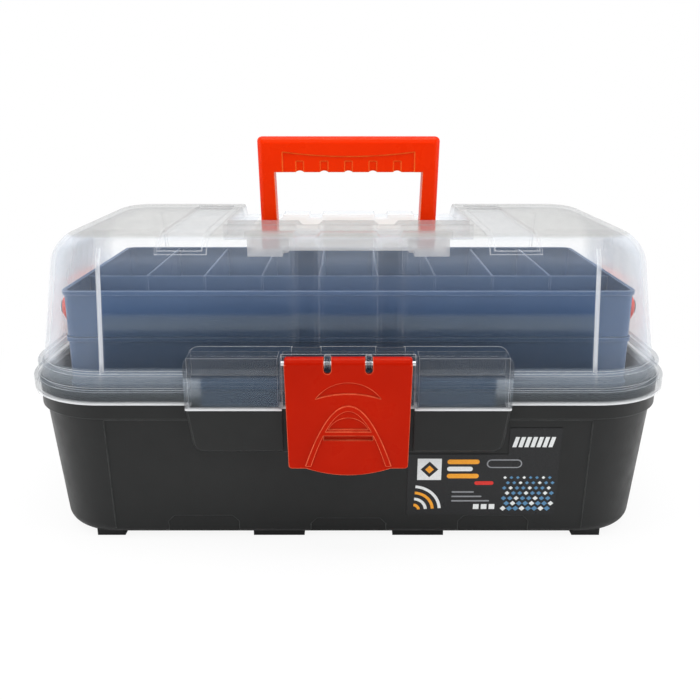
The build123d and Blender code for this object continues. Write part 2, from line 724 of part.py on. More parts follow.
with BuildPart() as handle_pin:
    pin_start = handle_ear_x - handle_ear_width / 2
    with Locations(((pin_start + handle_foot_half_x) / 2, handle_y, handle_pivot_z)):
        Cylinder(handle_pin_radius, handle_foot_half_x - pin_start, rotation=(0, 90, 0))
write_pair(handle_pin.part, "handle_pin")

# Latch
arch_low_z = latch_tip_z + arch_low_rise
arch_top_z = latch_axis_z - arch_drop
crescent_z = latch_axis_z - crescent_drop
thumb_z = latch_axis_z - thumb_drop
face_plane = Plane.XZ.offset(-latch_front_y)
with BuildPart() as latch_roll:
    with Locations((0, latch_axis_y, latch_axis_z)):
        Cylinder(latch_roll_radius, 2 * latch_half_x, rotation=(0, 90, 0))
    fillet(latch_roll.edges().filter_by(GeomType.CIRCLE), latch_roll_round)

with BuildPart() as latch:
    with BuildSketch(face_plane) as latch_outline:
        with BuildLine():
            Polyline((-latch_tip_half_x, latch_corner_z), (-latch_low_half_x, latch_corner_z),
                     (-latch_half_x, latch_axis_z), (latch_half_x, latch_axis_z),
                     (latch_low_half_x, latch_corner_z), (latch_tip_half_x, latch_corner_z))
            ThreePointArc((latch_tip_half_x, latch_corner_z), (0, latch_tip_z),
                          (-latch_tip_half_x, latch_corner_z))
        make_face()
        low_points = latch_outline.vertices().group_by(Axis.Y)[0].sort_by(Axis.X)
        fillet([low_points[0], low_points[-1]], latch_corner_round)
    extrude(amount=-latch_plate)
    # The roll along the top, and the folded sides
    add(latch_roll.part)
    for side in sides:
        with Locations((side * latch_low_half_x, latch_front_y, latch_corner_z + latch_corner_round)):
            Box(latch_plate, latch_side_depth, latch_axis_z - latch_corner_z - latch_corner_round,
                align=(Align.MAX if side > 0 else Align.MIN, Align.MIN, Align.MIN))
    # The hook that snaps under the tub's catch
    add(box_between((-catch_half_x, latch_front_y + latch_plate, hook_z[0]),
                    (catch_half_x, hook_reach_y, hook_z[1])))
    # The slots that show the lid's two posts
    for side in sides:
        with BuildSketch(face_plane.offset(cut_past)):
            with Locations((side * latch_slot_x, latch_axis_z - latch_slot_drop + latch_slot_width / 2)):
                Circle(latch_slot_width / 2)
                Rectangle(latch_slot_width, latch_slot_drop + latch_roll_radius,
                          align=(Align.CENTER, Align.MIN))
        extrude(amount=-2 * latch_roll_radius - 2 * cut_past, mode=Mode.SUBTRACT)
    with Locations((0, latch_axis_y, latch_axis_z)):
        Cylinder(latch_pin_radius, 2 * latch_half_x + cut_past, rotation=(0, 90, 0), mode=Mode.SUBTRACT)
    # A sunk crescent above, a raised arch below, and in it a sunk arc over the thumb ledge
    with BuildSketch(face_plane):
        with BuildLine():
            ThreePointArc((-crescent_half_x, crescent_z), (0, crescent_z + crescent_rise),
                          (crescent_half_x, crescent_z))
            ThreePointArc((crescent_half_x, crescent_z), (0, crescent_z + crescent_sag),
                          (-crescent_half_x, crescent_z))
        make_face()
    extrude(amount=-emboss, mode=Mode.SUBTRACT)
    with BuildSketch(face_plane):
        with BuildLine():
            Bezier((-arch_half_x, arch_low_z), (0, 2 * arch_top_z - arch_low_z), (arch_half_x, arch_low_z))
            Line((arch_half_x, arch_low_z), (arch_half_x - arch_width, arch_low_z))
            Bezier((arch_half_x - arch_width, arch_low_z), (0, 2 * (arch_top_z - arch_width) - arch_low_z),
                   (-arch_half_x + arch_width, arch_low_z))
            Line((-arch_half_x + arch_width, arch_low_z), (-arch_half_x, arch_low_z))
        make_face()
    extrude(amount=emboss)
    with BuildSketch(face_plane):
        with BuildLine():
            thumb_top_z = thumb_z + thumb_height
            ThreePointArc((-thumb_arc_half_x, thumb_top_z), (0, thumb_top_z + thumb_arc_rise),
                          (thumb_arc_half_x, thumb_top_z))
            Line((thumb_arc_half_x, thumb_top_z), (-thumb_arc_half_x, thumb_top_z))
        make_face()
    extrude(amount=-emboss, mode=Mode.SUBTRACT)
    with Locations((0, latch_front_y, thumb_z)):
        Box(2 * thumb_half_x, 2 * emboss, thumb_height)
    # The slot under the ledge
    slot_top_z = thumb_z - thumb_height / 2
    add(box_between((-thumb_half_x, latch_front_y - cut_past, slot_top_z - thumb_slot_height),
                    (thumb_half_x, latch_front_y + thumb_slot_depth, slot_top_z)), mode=Mode.SUBTRACT)
write(latch.part, "latch")

with BuildPart() as latch_pin:
    with Locations((0, latch_axis_y, latch_axis_z)):
        Cylinder(latch_pin_radius, 2 * (latch_bay_half_x - latch_pin_end_gap), rotation=(0, 90, 0))
write(latch_pin.part, "latch_pin")


def make_tray(cells, drop):
    """One tray, a drop below the top one, with its end studs."""
    floor_z = tray_top_z - drop - tray_height
    top_z = floor_z + tray_height
    row_back = tray_half_y - tray_wall
    stud_start_x = tray_half_x - tray_wall / 2
    studs = [side_stud(arm_point(row, drop), arm_stud_radius, stud_start_x, stud_end_x) for row in arm_pivots]
    if drop == 0:
        studs.append(side_stud(link_tray_point, link_stud_radius, stud_start_x, link_outer_x + side_gap))
    with BuildPart() as tray:
        with BuildSketch(Plane.XY.offset(floor_z)):
            RectangleRounded(2 * tray_half_x, 2 * tray_half_y, tray_corner)
        extrude(amount=tray_height)
        with BuildSketch(Plane.XY.offset(top_z - tray_lip_height)):
            RectangleRounded(2 * (tray_half_x + tray_lip), 2 * (tray_half_y + tray_lip),
                             tray_corner + tray_lip)
        extrude(amount=tray_lip_height)
        with BuildSketch(Plane.XY.offset(floor_z + tray_wall)):
            RectangleRounded(2 * (tray_half_x - tray_wall), 2 * row_back, tray_corner - tray_wall)
        extrude(amount=tray_height, mode=Mode.SUBTRACT)
        # The wall behind the long front cell, and the dividers behind it
        divider_height = tray_height - tray_wall - tray_divider_drop
        with Locations((0, tray_gutter_y, floor_z + tray_wall)):
            Box(2 * tray_half_x - tray_wall, tray_divider, divider_height,
                align=(Align.CENTER, Align.CENTER, Align.MIN))
        with Locations((0, (tray_gutter_y + row_back) / 2, floor_z + tray_wall)):
            with GridLocations(2 * (tray_half_x - tray_wall) / cells, 1, cells - 1, 1):
                Box(tray_divider, row_back - tray_gutter_y + tray_wall, divider_height,
                    align=(Align.CENTER, Align.CENTER, Align.MIN))
        for stud in studs:
            add(stud)
            add(mirror(stud, about=Plane.YZ))
    return tray.part


def make_heads(drop):
    """The push-on heads that keep the arms on one tray's studs."""
    heads = [side_stud(arm_point(row, drop), arm_head_radius, stud_end_x, stud_end_x + head_thickness)
             for row in arm_pivots]
    if drop == 0:
        head_x = link_outer_x + side_gap
        heads.append(side_stud(link_tray_point, link_head_radius, head_x, head_x + head_thickness))
    return Compound(children=heads + [mirror(head, about=Plane.YZ) for head in heads])


# Trays, and the heads on their studs
for name, cells in tray_cell_count.items():
    write(make_tray(cells, tray_drops[name]), name)
    write(make_heads(tray_drops[name]), f"{name}_heads")

# Swing arms and the pins that they turn on in the tub
for row, pivot in arm_pivots.items():
    arm_points = [arm_point(row, drop) for drop in tray_drops.values()] + [pivot]
    holes = [arm_stud_radius + running_clearance] * len(arm_points)
    write_pair(side_bar(arm_points, arm_half_width, arm_inner_x, arm_thickness, holes), f"{row}_arm")
    head_x = arm_inner_x - side_gap
    with BuildPart() as arm_pin:
        add(side_stud(pivot, arm_stud_radius, head_x, stud_end_x + arm_pin_bury))
        add(side_stud(pivot, arm_head_radius, head_x - head_thickness, head_x))
    write_pair(arm_pin.part, f"{row}_arm_pin")

# Lid links and their pins in the lid
link_points = [link_lid_point, link_tray_point]
link_holes = [link_stud_radius + running_clearance, link_free_radius]
write_pair(side_bar(link_points, link_half_width, link_inner_x, link_thickness, link_holes), "lid_link")
write_pair(side_stud(link_lid_point, link_stud_radius, link_inner_x, link_pin_end_x), "lid_link_pin")

# Front label: a flat film on the tub's front panel, taller beside the pad
label_right_x = corner_start_x - label_edge_inset
with BuildPart() as label:
    with BuildSketch(front_wall.offset(-panel_depth)):
        with Locations((label_right_x, label_low)):
            Rectangle(*label_size, align=(Align.MAX, Align.MIN))
            Rectangle(label_tab[0], label_size[1] + label_tab[1], align=(Align.MAX, Align.MIN))
    extrude(amount=label_thickness)
write(label.part, "front_label")
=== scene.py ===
"""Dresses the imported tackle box: its finishes, the printed label, the camera and the studio."""
import logging
import math
from dataclasses import dataclass, field
from enum import Enum

import bmesh
import bpy
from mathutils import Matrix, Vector


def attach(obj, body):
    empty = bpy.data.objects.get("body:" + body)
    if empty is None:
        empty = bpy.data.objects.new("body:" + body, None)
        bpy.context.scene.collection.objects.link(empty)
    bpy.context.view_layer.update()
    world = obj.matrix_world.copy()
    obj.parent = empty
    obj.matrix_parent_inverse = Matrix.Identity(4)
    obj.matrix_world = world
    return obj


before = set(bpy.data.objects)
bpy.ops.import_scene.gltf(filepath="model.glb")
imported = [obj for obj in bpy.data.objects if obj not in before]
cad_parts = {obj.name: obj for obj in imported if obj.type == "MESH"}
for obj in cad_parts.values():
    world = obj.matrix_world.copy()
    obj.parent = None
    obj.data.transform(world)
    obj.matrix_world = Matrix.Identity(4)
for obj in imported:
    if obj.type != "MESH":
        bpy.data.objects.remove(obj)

LOG = logging.getLogger("tackle_box")
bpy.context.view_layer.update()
MM = 0.001
FAR_MM = 1000.0
PHOTO_WIDTH_PX = 700

Colour = tuple[float, float, float]
Outline = list[tuple[float, float]]
Socket = bpy.types.NodeSocket


class Moulding(Enum):
    """The surface that a mould leaves on a plastic piece: bump height and grain size, in millimetres."""

    STIPPLED = (0.05, 1.1)
    SATIN = (0.012, 0.8)


def srgb(red: int, green: int, blue: int) -> Colour:
    """Turns a colour as a screen shows it into the linear one that a shader takes.

    Args:
        red: The red part, 0 to 255.
        green: The green part, 0 to 255.
        blue: The blue part, 0 to 255.

    Returns:
        The linear colour, each part 0 to 1.
    """
    parts = [value / 255 for value in (red, green, blue)]
    return tuple(v / 12.92 if v <= 0.04045 else ((v + 0.055) / 1.055) ** 2.4 for v in parts)


class Graph:
    """A material's nodes, with short ways to add and join them."""

    def __init__(self, name: str) -> None:
        """Starts a material with one Principled shader."""
        self.material = bpy.data.materials.new(name)
        self.material.use_nodes = True
        self.tree = self.material.node_tree
        self.shader = self.tree.nodes["Principled BSDF"]
        self.output = self.tree.nodes["Material Output"]
        self.place = self.add("ShaderNodeTexCoord").outputs["Object"]

    def add(self, kind: str, **settings: object) -> bpy.types.Node:
        """Adds a node of that kind and sets its properties."""
        node = self.tree.nodes.new(kind)
        for key, value in settings.items():
            setattr(node, key, value)
        return node

    def join(self, source: Socket, target: Socket) -> None:
        """Joins one socket to another."""
        self.tree.links.new(source, target)

    def noise(self, size_mm: float, detail: float = 3.0,
              stretch: tuple[float, float, float] = (1.0, 1.0, 1.0)) -> Socket:
        """Adds a noise texture on the object's own coordinates.

        Args:
            size_mm: The size of its features.
            detail: Layers of finer noise.
            stretch: How much finer it is along each axis.

        Returns:
            The noise's value.
        """
        mapping = self.add("ShaderNodeMapping")
        mapping.inputs["Scale"].default_value = stretch
        self.join(self.place, mapping.inputs["Vector"])
        texture = self.add("ShaderNodeTexNoise")
        texture.inputs["Scale"].default_value = 1 / (size_mm * MM)
        texture.inputs["Detail"].default_value = detail
        self.join(mapping.outputs["Vector"], texture.inputs["Vector"])
        return texture.outputs[0]

    def remap(self, source: Socket, low: float, high: float, to_low: float, to_high: float) -> Socket:
        """Maps a value's range onto another and clamps it.

        Args:
            source: The value.
            low: Its low end.
            high: Its high end.
            to_low: What the low end becomes.
            to_high: What the high end becomes.

        Returns:
            The new value.
        """
        node = self.add("ShaderNodeMapRange")
        for key, value in zip(("From Min", "From Max", "To Min", "To Max"), (low, high, to_low, to_high)):
            node.inputs[key].default_value = value
        self.join(source, node.inputs["Value"])
        return node.outputs["Result"]

    def math(self, operation: str, first: Socket, second: Socket) -> Socket:
        """Combines two values and clamps the result to 0 and 1."""
        node = self.add("ShaderNodeMath", operation=operation, use_clamp=True)
        self.join(first, node.inputs[0])
        self.join(second, node.inputs[1])
        return node.outputs[0]

    def mix(self, share: Socket, first: Colour | Socket, second: Colour | Socket) -> Socket:
        """Mixes two colours by a share.

        Args:
            share: From 0, all first, to 1, all second.
            first: The first colour, or a socket that gives it.
            second: The second colour, or a socket that gives it.

        Returns:
            The mixed colour.
        """
        node = self.add("ShaderNodeMix", data_type="RGBA")
        for colour, target in ((first, node.inputs[6]), (second, node.inputs[7])):
            if isinstance(colour, Socket):
                self.join(colour, target)
            else:
                target.default_value = (*colour, 1)
        self.join(share, node.inputs[0])
        return node.outputs[2]

    def span(self, source: Socket, low: float, high: float, blur: float) -> Socket:
        """Gives 1 where a value lies between two limits and 0 outside, with blurred ends."""
        above = self.remap(source, low - blur, low + blur, 0.0, 1.0)
        below = self.remap(source, high - blur, high + blur, 1.0, 0.0)
        return self.math("MULTIPLY", above, below)

    def edges(self, radius_mm: float, reach: float) -> tuple[Socket, Socket]:
        """Softens sharp edges and finds them.

        Args:
            radius_mm: The radius that the edges seem to have.
            reach: How far the softened normal turns where the edge counts in full, 0 to 1.

        Returns:
            The softened normal, and a value that is 1 on sharp edges and 0 away from them.
        """
        bevel = self.add("ShaderNodeBevel", samples=8)
        bevel.inputs["Radius"].default_value = radius_mm * MM
        facing = self.add("ShaderNodeVectorMath", operation="DOT_PRODUCT")
        self.join(bevel.outputs["Normal"], facing.inputs[0])
        self.join(self.add("ShaderNodeNewGeometry").outputs["Normal"], facing.inputs[1])
        return bevel.outputs["Normal"], self.remap(facing.outputs["Value"], 0.995, 1 - reach, 0.0, 1.0)

    def bump(self, height: Socket, depth_mm: float, normal: Socket | None = None) -> None:
        """Raises the surface by a height, over softened edges where there are some."""
        node = self.add("ShaderNodeBump")
        node.inputs["Distance"].default_value = depth_mm * MM
        self.join(height, node.inputs["Height"])
        if normal is not None:
            self.join(normal, node.inputs["Normal"])
        self.join(node.outputs["Normal"], self.shader.inputs["Normal"])

    def fix(self, **values: float | tuple[float, ...]) -> None:
        """Sets the shader's own sockets, named with underscores for spaces."""
        for key, value in values.items():
            self.shader.inputs[key.replace("_", " ")].default_value = value


@dataclass(frozen=True)
class Plastic:
    """An opaque moulded plastic, with its grain, faint flow clouds and a patchy painted highlight on its
    edges.

    Sizes are in millimetres. Each spread is where a noise starts and stops to count.
    """

    name: str
    colour: Colour
    cloud: Colour
    # The colour of the painted highlight on sharp edges.
    edge: Colour
    moulding: Moulding
    roughness: float
    edge_radius: float = 0.6
    edge_reach: float = 0.25
    coat: float = 0.0
    shine: float = 0.25
    shine_tint: Colour = (1.0, 1.0, 1.0)
    coat_roughness: float = 0.15
    cloud_size: float = 60.0
    cloud_spread: tuple[float, float] = (0.35, 0.68)
    # Noise patches that break up the painted edge highlight: their size, spread and least share.
    highlight_patch_size: float = 7.0
    highlight_patch_spread: tuple[float, float] = (0.3, 0.6)
    highlight_patch_least: float = 0.45
    gloss_size: float = 11.0
    gloss_spread: tuple[float, float] = (0.3, 0.7)
    gloss_range: tuple[float, float] = (-0.05, 0.07)

    def build(self) -> bpy.types.Material:
        """Builds the material."""
        graph = Graph(self.name)
        share = graph.remap(graph.noise(self.cloud_size, 4.0), *self.cloud_spread, 0.0, 1.0)
        normal, edge = graph.edges(self.edge_radius, self.edge_reach)
        # The paler edge colour is a painted highlight along sharp edges, broken up in patches by noise.
        highlight_patches = graph.remap(graph.noise(self.highlight_patch_size), *self.highlight_patch_spread, self.highlight_patch_least, 1.0)
        painted_edge_highlight = graph.math("MULTIPLY", edge, highlight_patches)
        body = graph.mix(share, self.colour, self.cloud)
        graph.join(graph.mix(painted_edge_highlight, body, self.edge), graph.shader.inputs["Base Color"])
        smoothest, roughest = (self.roughness + step for step in self.gloss_range)
        rough = graph.remap(graph.noise(self.gloss_size, 5.0), *self.gloss_spread, smoothest, roughest)
        graph.join(rough, graph.shader.inputs["Roughness"])
        height, size = self.moulding.value
        graph.bump(graph.noise(size, 2.0), height, normal)
        graph.fix(Coat_Weight=self.coat, Coat_Roughness=self.coat_roughness,
                  Specular_IOR_Level=self.shine, Specular_Tint=(*self.shine_tint, 1))
        return graph.material


Side = tuple[float, float, float]


@dataclass(frozen=True)
class Zone:
    """A block of the lid's space, in millimetres.

    Each side holds its low end, its high end and the blur of both, and a side left out has no end.
    X counts from the middle, to the left as to the right.
    """

    x: Side | None = None
    y: Side | None = None
    z: Side | None = None

    def mask(self, graph: Graph, place: tuple[Socket, Socket, Socket]) -> Socket:
        """Gives 1 inside the block and 0 outside.

        Args:
            graph: The material's nodes.
            place: The sockets that give X, Y and Z.

        Returns:
            The mask.
        """
        spans = [graph.span(socket, *(value * MM for value in side))
                 for socket, side in zip(place, (self.x, self.y, self.z)) if side is not None]
        mask = spans[0]
        for span in spans[1:]:
            mask = graph.math("MULTIPLY", mask, span)
        return mask


@dataclass(frozen=True)
class Tint:
    """A colour and the least veil that the lid has within one block."""

    zone: Zone
    colour: Colour
    veil: float


@dataclass(frozen=True)
class ClearPlastic:
    """The lid's frosted clear plastic: a thin veil, milky where it turns away, with painted edge highlights.

    Its front and lip carry painted reflections of the dim room, painted highlights and painted shade
    in level bands. Each band is a height in millimetres, a colour and a veil.
    """

    name: str
    colour: Colour
    edge_highlight_colour: Colour
    face_veil: float
    turned_veil: float
    edge_veil: float
    bands: tuple[tuple[float, Colour, float], ...]
    painted_light_area: tuple[Zone, Zone]
    tints: tuple[Tint, ...]
    rib_highlight: Zone
    rib_highlight_share: float = 0.75
    edge_radius: float = 0.8
    edge_reach: float = 0.2
    turn: tuple[float, float] = (0.35, 0.97)
    flow_size: float = 34.0
    flow_stretch: tuple[float, float, float] = (1.0, 1.0, 0.35)
    flow_range: tuple[float, float] = (0.75, 1.25)
    wave_size: float = 14.0
    wave_height: float = 0.03

    def ramp(self, graph: Graph, height: Socket) -> bpy.types.Node:
        """Adds the ramp that holds the bands, from the lowest one's height to the highest one's."""
        low, high = self.bands[0][0], self.bands[-1][0]
        ramp = graph.add("ShaderNodeValToRGB")
        stops = ramp.color_ramp.elements
        while len(stops) < len(self.bands):
            stops.new(0.5)
        for stop, (level, colour, veil) in zip(stops, self.bands):
            stop.position = (level - low) / (high - low)
            stop.color = (*colour, veil)
        graph.join(graph.remap(height, low * MM, high * MM, 0.0, 1.0), ramp.inputs["Fac"])
        return ramp

    def place(self, graph: Graph) -> tuple[Socket, Socket, Socket]:
        """Gives the distance from the middle plane, the depth and the height."""
        spot = graph.add("ShaderNodeSeparateXYZ")
        graph.join(graph.place, spot.inputs[0])
        aside = graph.add("ShaderNodeMath", operation="ABSOLUTE")
        graph.join(spot.outputs["X"], aside.inputs[0])
        return aside.outputs[0], spot.outputs["Y"], spot.outputs["Z"]

    def build(self) -> bpy.types.Material:
        """Builds the material."""
        graph = Graph(self.name)
        normal, edge = graph.edges(self.edge_radius, self.edge_reach)
        place = self.place(graph)
        turned = graph.add("ShaderNodeLayerWeight")
        turned.inputs["Blend"].default_value = 0.5
        veil = graph.remap(turned.outputs["Facing"], *self.turn, self.face_veil, self.turned_veil)
        flow = graph.noise(self.flow_size, 4.0, self.flow_stretch)
        veil = graph.math("MULTIPLY", veil, graph.remap(flow, 0.3, 0.7, *self.flow_range))
        # Painted reflections, highlights and shade in level bands, on the dome's front and up the lip's
        # height.
        painted_light_area = graph.math("MAXIMUM", *(zone.mask(graph, place) for zone in self.painted_light_area))
        ramp = self.ramp(graph, place[2])
        colour = graph.mix(painted_light_area, self.colour, ramp.outputs["Color"])
        veil = graph.math("MAXIMUM", veil, graph.math("MULTIPLY", painted_light_area, ramp.outputs["Alpha"]))
        for tint in self.tints:
            where = tint.zone.mask(graph, place)
            colour = graph.mix(where, colour, tint.colour)
            veil = graph.math("MAXIMUM", veil, graph.remap(where, 0.0, 1.0, 0.0, tint.veil))
        # The ribs and the sharp edges get a painted white highlight, which also thickens the veil there.
        rib_highlight = graph.remap(self.rib_highlight.mask(graph, place), 0.0, 1.0, 0.0, self.rib_highlight_share)
        bright = graph.math("MAXIMUM", edge, rib_highlight)
        graph.join(graph.mix(bright, colour, self.edge_highlight_colour), graph.shader.inputs["Base Color"])
        veil = graph.math("MAXIMUM", veil, graph.remap(bright, 0.0, 1.0, 0.0, self.edge_veil))
        graph.join(veil, graph.shader.inputs["Alpha"])
        graph.bump(graph.noise(self.wave_size, 2.0), self.wave_height, normal)
        graph.fix(Roughness=0.16, IOR=1.49, Specular_IOR_Level=0.5, Coat_Weight=0.2, Coat_Roughness=0.05)
        return graph.material


@dataclass(frozen=True)
class BrightWire:
    """Drawn steel wire, with fine lines along its length."""

    name: str
    colour: Colour
    line_width: float = 0.5
    line_stretch: tuple[float, float, float] = (0.08, 1.0, 1.0)
    line_height: float = 0.02
    line_shade: float = 0.75

    def build(self) -> bpy.types.Material:
        """Builds the material."""
        graph = Graph(self.name)
        lines = graph.noise(self.line_width, 2.0, self.line_stretch)
        share = graph.remap(lines, 0.3, 0.7, 0.0, 1.0)
        darker = tuple(part * self.line_shade for part in self.colour)
        graph.join(graph.mix(share, self.colour, darker), graph.shader.inputs["Base Color"])
        graph.join(graph.remap(lines, 0.3, 0.7, 0.22, 0.38), graph.shader.inputs["Roughness"])
        graph.bump(lines, self.line_height)
        graph.fix(Metallic=1.0)
        return graph.material


@dataclass(frozen=True)
class Ink:
    """A printed colour on the label's film, with the dots of its screen and a thin varnish."""

    name: str
    colour: Colour
    dots_per_metre: float = 1600.0
    gloss_size: float = 9.0
    dent_size: float = 3.0
    dent_depth: float = 0.02

    def build(self) -> bpy.types.Material:
        """Builds the material."""
        graph = Graph(self.name)
        dots = graph.add("ShaderNodeTexVoronoi")
        dots.inputs["Scale"].default_value = self.dots_per_metre
        graph.join(graph.place, dots.inputs["Vector"])
        share = graph.remap(dots.outputs["Distance"], 0.2, 0.6, 0.0, 1.0)
        paler = tuple(min(1.0, part * 1.15 + 0.006) for part in self.colour)
        graph.join(graph.mix(share, self.colour, paler), graph.shader.inputs["Base Color"])
        rough = graph.remap(graph.noise(self.gloss_size, 4.0), 0.3, 0.7, 0.26, 0.4)
        graph.join(rough, graph.shader.inputs["Roughness"])
        graph.bump(graph.noise(self.dent_size), self.dent_depth)
        graph.fix(Coat_Weight=0.08, Coat_Roughness=0.1, Specular_IOR_Level=0.22)
        return graph.material


# Each plastic's third colour is the painted highlight on its sharp edges.
TUB_PLASTIC = Plastic(
    "charcoal_plastic", srgb(23, 24, 24), srgb(27, 28, 28), srgb(84, 87, 86), Moulding.STIPPLED,
    roughness=0.4, edge_radius=0.8, shine=0.24)
TRAY_PLASTIC = Plastic(
    "slate_blue_plastic", srgb(60, 85, 120), srgb(66, 92, 128), srgb(172, 186, 206), Moulding.SATIN,
    roughness=0.4, edge_radius=0.5, edge_reach=0.15)
HANDLE_PLASTIC = Plastic(
    "orange_plastic", srgb(228, 40, 0), srgb(232, 45, 0), srgb(255, 134, 54), Moulding.SATIN,
    roughness=0.28, edge_radius=1.1, coat=0.02, shine=0.16, shine_tint=(1.0, 0.55, 0.25))
LATCH_PLASTIC = Plastic(
    "deep_orange_plastic", srgb(168, 16, 0), srgb(176, 20, 0), srgb(255, 124, 84), Moulding.SATIN,
    roughness=0.3, edge_radius=0.7, edge_reach=0.15, coat=0.02, shine=0.14, shine_tint=(1.0, 0.5, 0.25))
ARM_PLASTIC = Plastic(
    "orange_arm_plastic", srgb(222, 52, 18), srgb(228, 58, 22), srgb(244, 112, 78), Moulding.SATIN,
    roughness=0.42, shine_tint=(1.0, 0.6, 0.4))
STUD_PLASTIC = Plastic(
    "dark_stud_plastic", srgb(30, 32, 34), srgb(36, 38, 40), srgb(84, 86, 88), Moulding.SATIN,
    roughness=0.45)
# Painted reflections, highlights and shade on the lid's front, by height in mm, with colour and veil; the
# white at the bottom is a painted edge highlight.
LID_PAINTED_LIGHT_BANDS = (
    (96.0, srgb(236, 238, 240), 0.7),
    (97.3, srgb(236, 238, 240), 0.5),
    (98.3, srgb(66, 72, 78), 0.28),
    (103.5, srgb(92, 102, 110), 0.3),
    (106.0, srgb(138, 148, 158), 0.28),
    (115.0, srgb(168, 178, 188), 0.34),
    (117.0, srgb(60, 66, 74), 0.3),
    (138.0, srgb(70, 80, 92), 0.26),
    (141.0, srgb(116, 124, 130), 0.26),
    (147.0, srgb(112, 122, 132), 0.22),
    (150.0, srgb(90, 110, 146), 0.08),
    (175.0, srgb(190, 210, 240), 0.1),
    (195.0, srgb(226, 230, 236), 0.2))
# Where the painted light bands show: the dome's front and the lip's height.
DOME_FRONT = Zone(x=(-FAR_MM, 146.5, 1.0), y=(-200.0, -79.0, 3.0))
LIP_HEIGHT = Zone(z=(0.0, 115.5, 0.8))
DOME_TOP = Tint(Zone(z=(191.5, FAR_MM, 0.5)), srgb(168, 169, 167), 0.42)
HANDLE_BAY = Tint(Zone(x=(-FAR_MM, 69.0, 0.5), y=(-22.5, 70.0, 0.5), z=(169.0, 188.0, 0.5)),
                  srgb(255, 255, 252), 0.5)
FRONT_PAD = Tint(Zone(x=(0.0, 86.0, 1.0), y=(-200.0, -104.5, 0.4), z=(99.0, 116.5, 0.8)),
                 srgb(82, 100, 120), 0.3)
# Where a painted white highlight line runs down each front rib.
FRONT_RIB_HIGHLIGHT = Zone(x=(146.8, 148.2, 0.2), y=(-200.0, -50.0, 1.0), z=(112.0, 180.0, 9.0))
LID_PLASTIC = ClearPlastic(
    "frosted_clear_plastic", srgb(222, 230, 240), srgb(246, 247, 250), face_veil=0.05, turned_veil=0.55,
    edge_veil=0.72, bands=LID_PAINTED_LIGHT_BANDS, painted_light_area=(DOME_FRONT, LIP_HEIGHT),
    tints=(DOME_TOP, HANDLE_BAY, FRONT_PAD), rib_highlight=FRONT_RIB_HIGHLIGHT)
PIN_STEEL = BrightWire("bright_steel_wire", srgb(205, 205, 208))
FILM_BLACK = Ink("label_black_film", srgb(19, 20, 22))
INK_WHITE = Ink("label_white_ink", srgb(208, 210, 210))
INK_AMBER = Ink("label_amber_ink", srgb(222, 148, 34))
INK_BLUE = Ink("label_steel_blue_ink", srgb(76, 122, 158))
INK_GREY = Ink("label_grey_ink", srgb(128, 130, 134))
INK_RED = Ink("label_red_ink", srgb(196, 40, 32))


def dress(node: str, material: bpy.types.Material) -> None:
    """Gives a CAD node one material.

    Args:
        node: The node's name.
        material: The material that replaces its own.
    """
    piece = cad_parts[node]
    piece.data.materials.clear()
    piece.data.materials.append(material)
    LOG.info("dressed %s with %s", node, material.name)


@dataclass
class Casing:
    """The tub, the clear lid and the pins that hinge them."""

    pins: tuple[str, ...] = ("hinge_pin_left", "hinge_pin_right", "lid_link_pin_left", "lid_link_pin_right")

    def dress(self) -> None:
        """Dresses the tub, the lid and the hinge pins."""
        dress("tub", TUB_PLASTIC.build())
        dress("lid", LID_PLASTIC.build())
        steel = PIN_STEEL.build()
        for pin in self.pins:
            dress(pin, steel)


@dataclass
class Grips:
    """The carry handle and the front latch, with their pins."""

    pins: tuple[str, ...] = ("handle_pin_left", "handle_pin_right", "latch_pin")

    def dress(self) -> None:
        """Dresses the handle, the latch and their pins."""
        dress("handle", HANDLE_PLASTIC.build())
        dress("latch", LATCH_PLASTIC.build())
        steel = PIN_STEEL.build()
        for pin in self.pins:
            dress(pin, steel)


@dataclass
class TrayStack:
    """The three trays, the swing arms that carry them and the links to the lid."""

    trays: tuple[str, ...] = ("tray_top", "tray_middle", "tray_bottom")
    sides: tuple[str, ...] = ("left", "right")

    def dress(self) -> None:
        """Dresses the trays, arms, links, studs and heads."""
        blue = TRAY_PLASTIC.build()
        dark = STUD_PLASTIC.build()
        orange = ARM_PLASTIC.build()
        for tray in self.trays:
            dress(tray, blue)
            dress(f"{tray}_heads", dark)
        for side in self.sides:
            dress(f"lid_link_{side}", orange)
            for row in ("front", "rear"):
                dress(f"{row}_arm_{side}", orange)
                dress(f"{row}_arm_pin_{side}", dark)


def bar(left: float, low: float, length: float, height: float) -> Outline:
    """A bar with round ends, in millimetres along and up the film.

    Args:
        left: Its left end.
        low: Its lower edge.
        length: Its length, ends included.
        height: Its height.

    Returns:
        Its outline, anticlockwise.
    """
    radius, steps = height / 2, 8
    middle = low + radius
    turns = [math.pi * i / steps for i in range(steps + 1)]
    start, end = left + radius, left + length - radius
    right_end = [(end + radius * math.sin(a), middle - radius * math.cos(a)) for a in turns]
    left_end = [(start - radius * math.sin(a), middle + radius * math.cos(a)) for a in turns]
    return right_end + left_end


def square(left: float, low: float, side: float) -> Outline:
    """An upright square from its lower left corner, as an outline in millimetres."""
    return [(left, low), (left + side, low), (left + side, low + side), (left, low + side)]


def ripple(centre: tuple[float, float], radius: float, width: float, sweep: tuple[float, float]) -> Outline:
    """A stretch of a ring.

    Args:
        centre: The ring's centre, in millimetres along and up the film.
        radius: Its inner radius.
        width: Its width.
        sweep: The angles where the stretch starts and ends, in degrees.

    Returns:
        Its outline, anticlockwise.
    """
    steps = 18
    turns = [math.radians(sweep[0] + (sweep[1] - sweep[0]) * i / steps) for i in range(steps + 1)]
    far = radius + width
    outer = [(centre[0] + far * math.cos(a), centre[1] + far * math.sin(a)) for a in turns]
    inner = [(centre[0] + radius * math.cos(a), centre[1] + radius * math.sin(a)) for a in reversed(turns)]
    return outer + inner


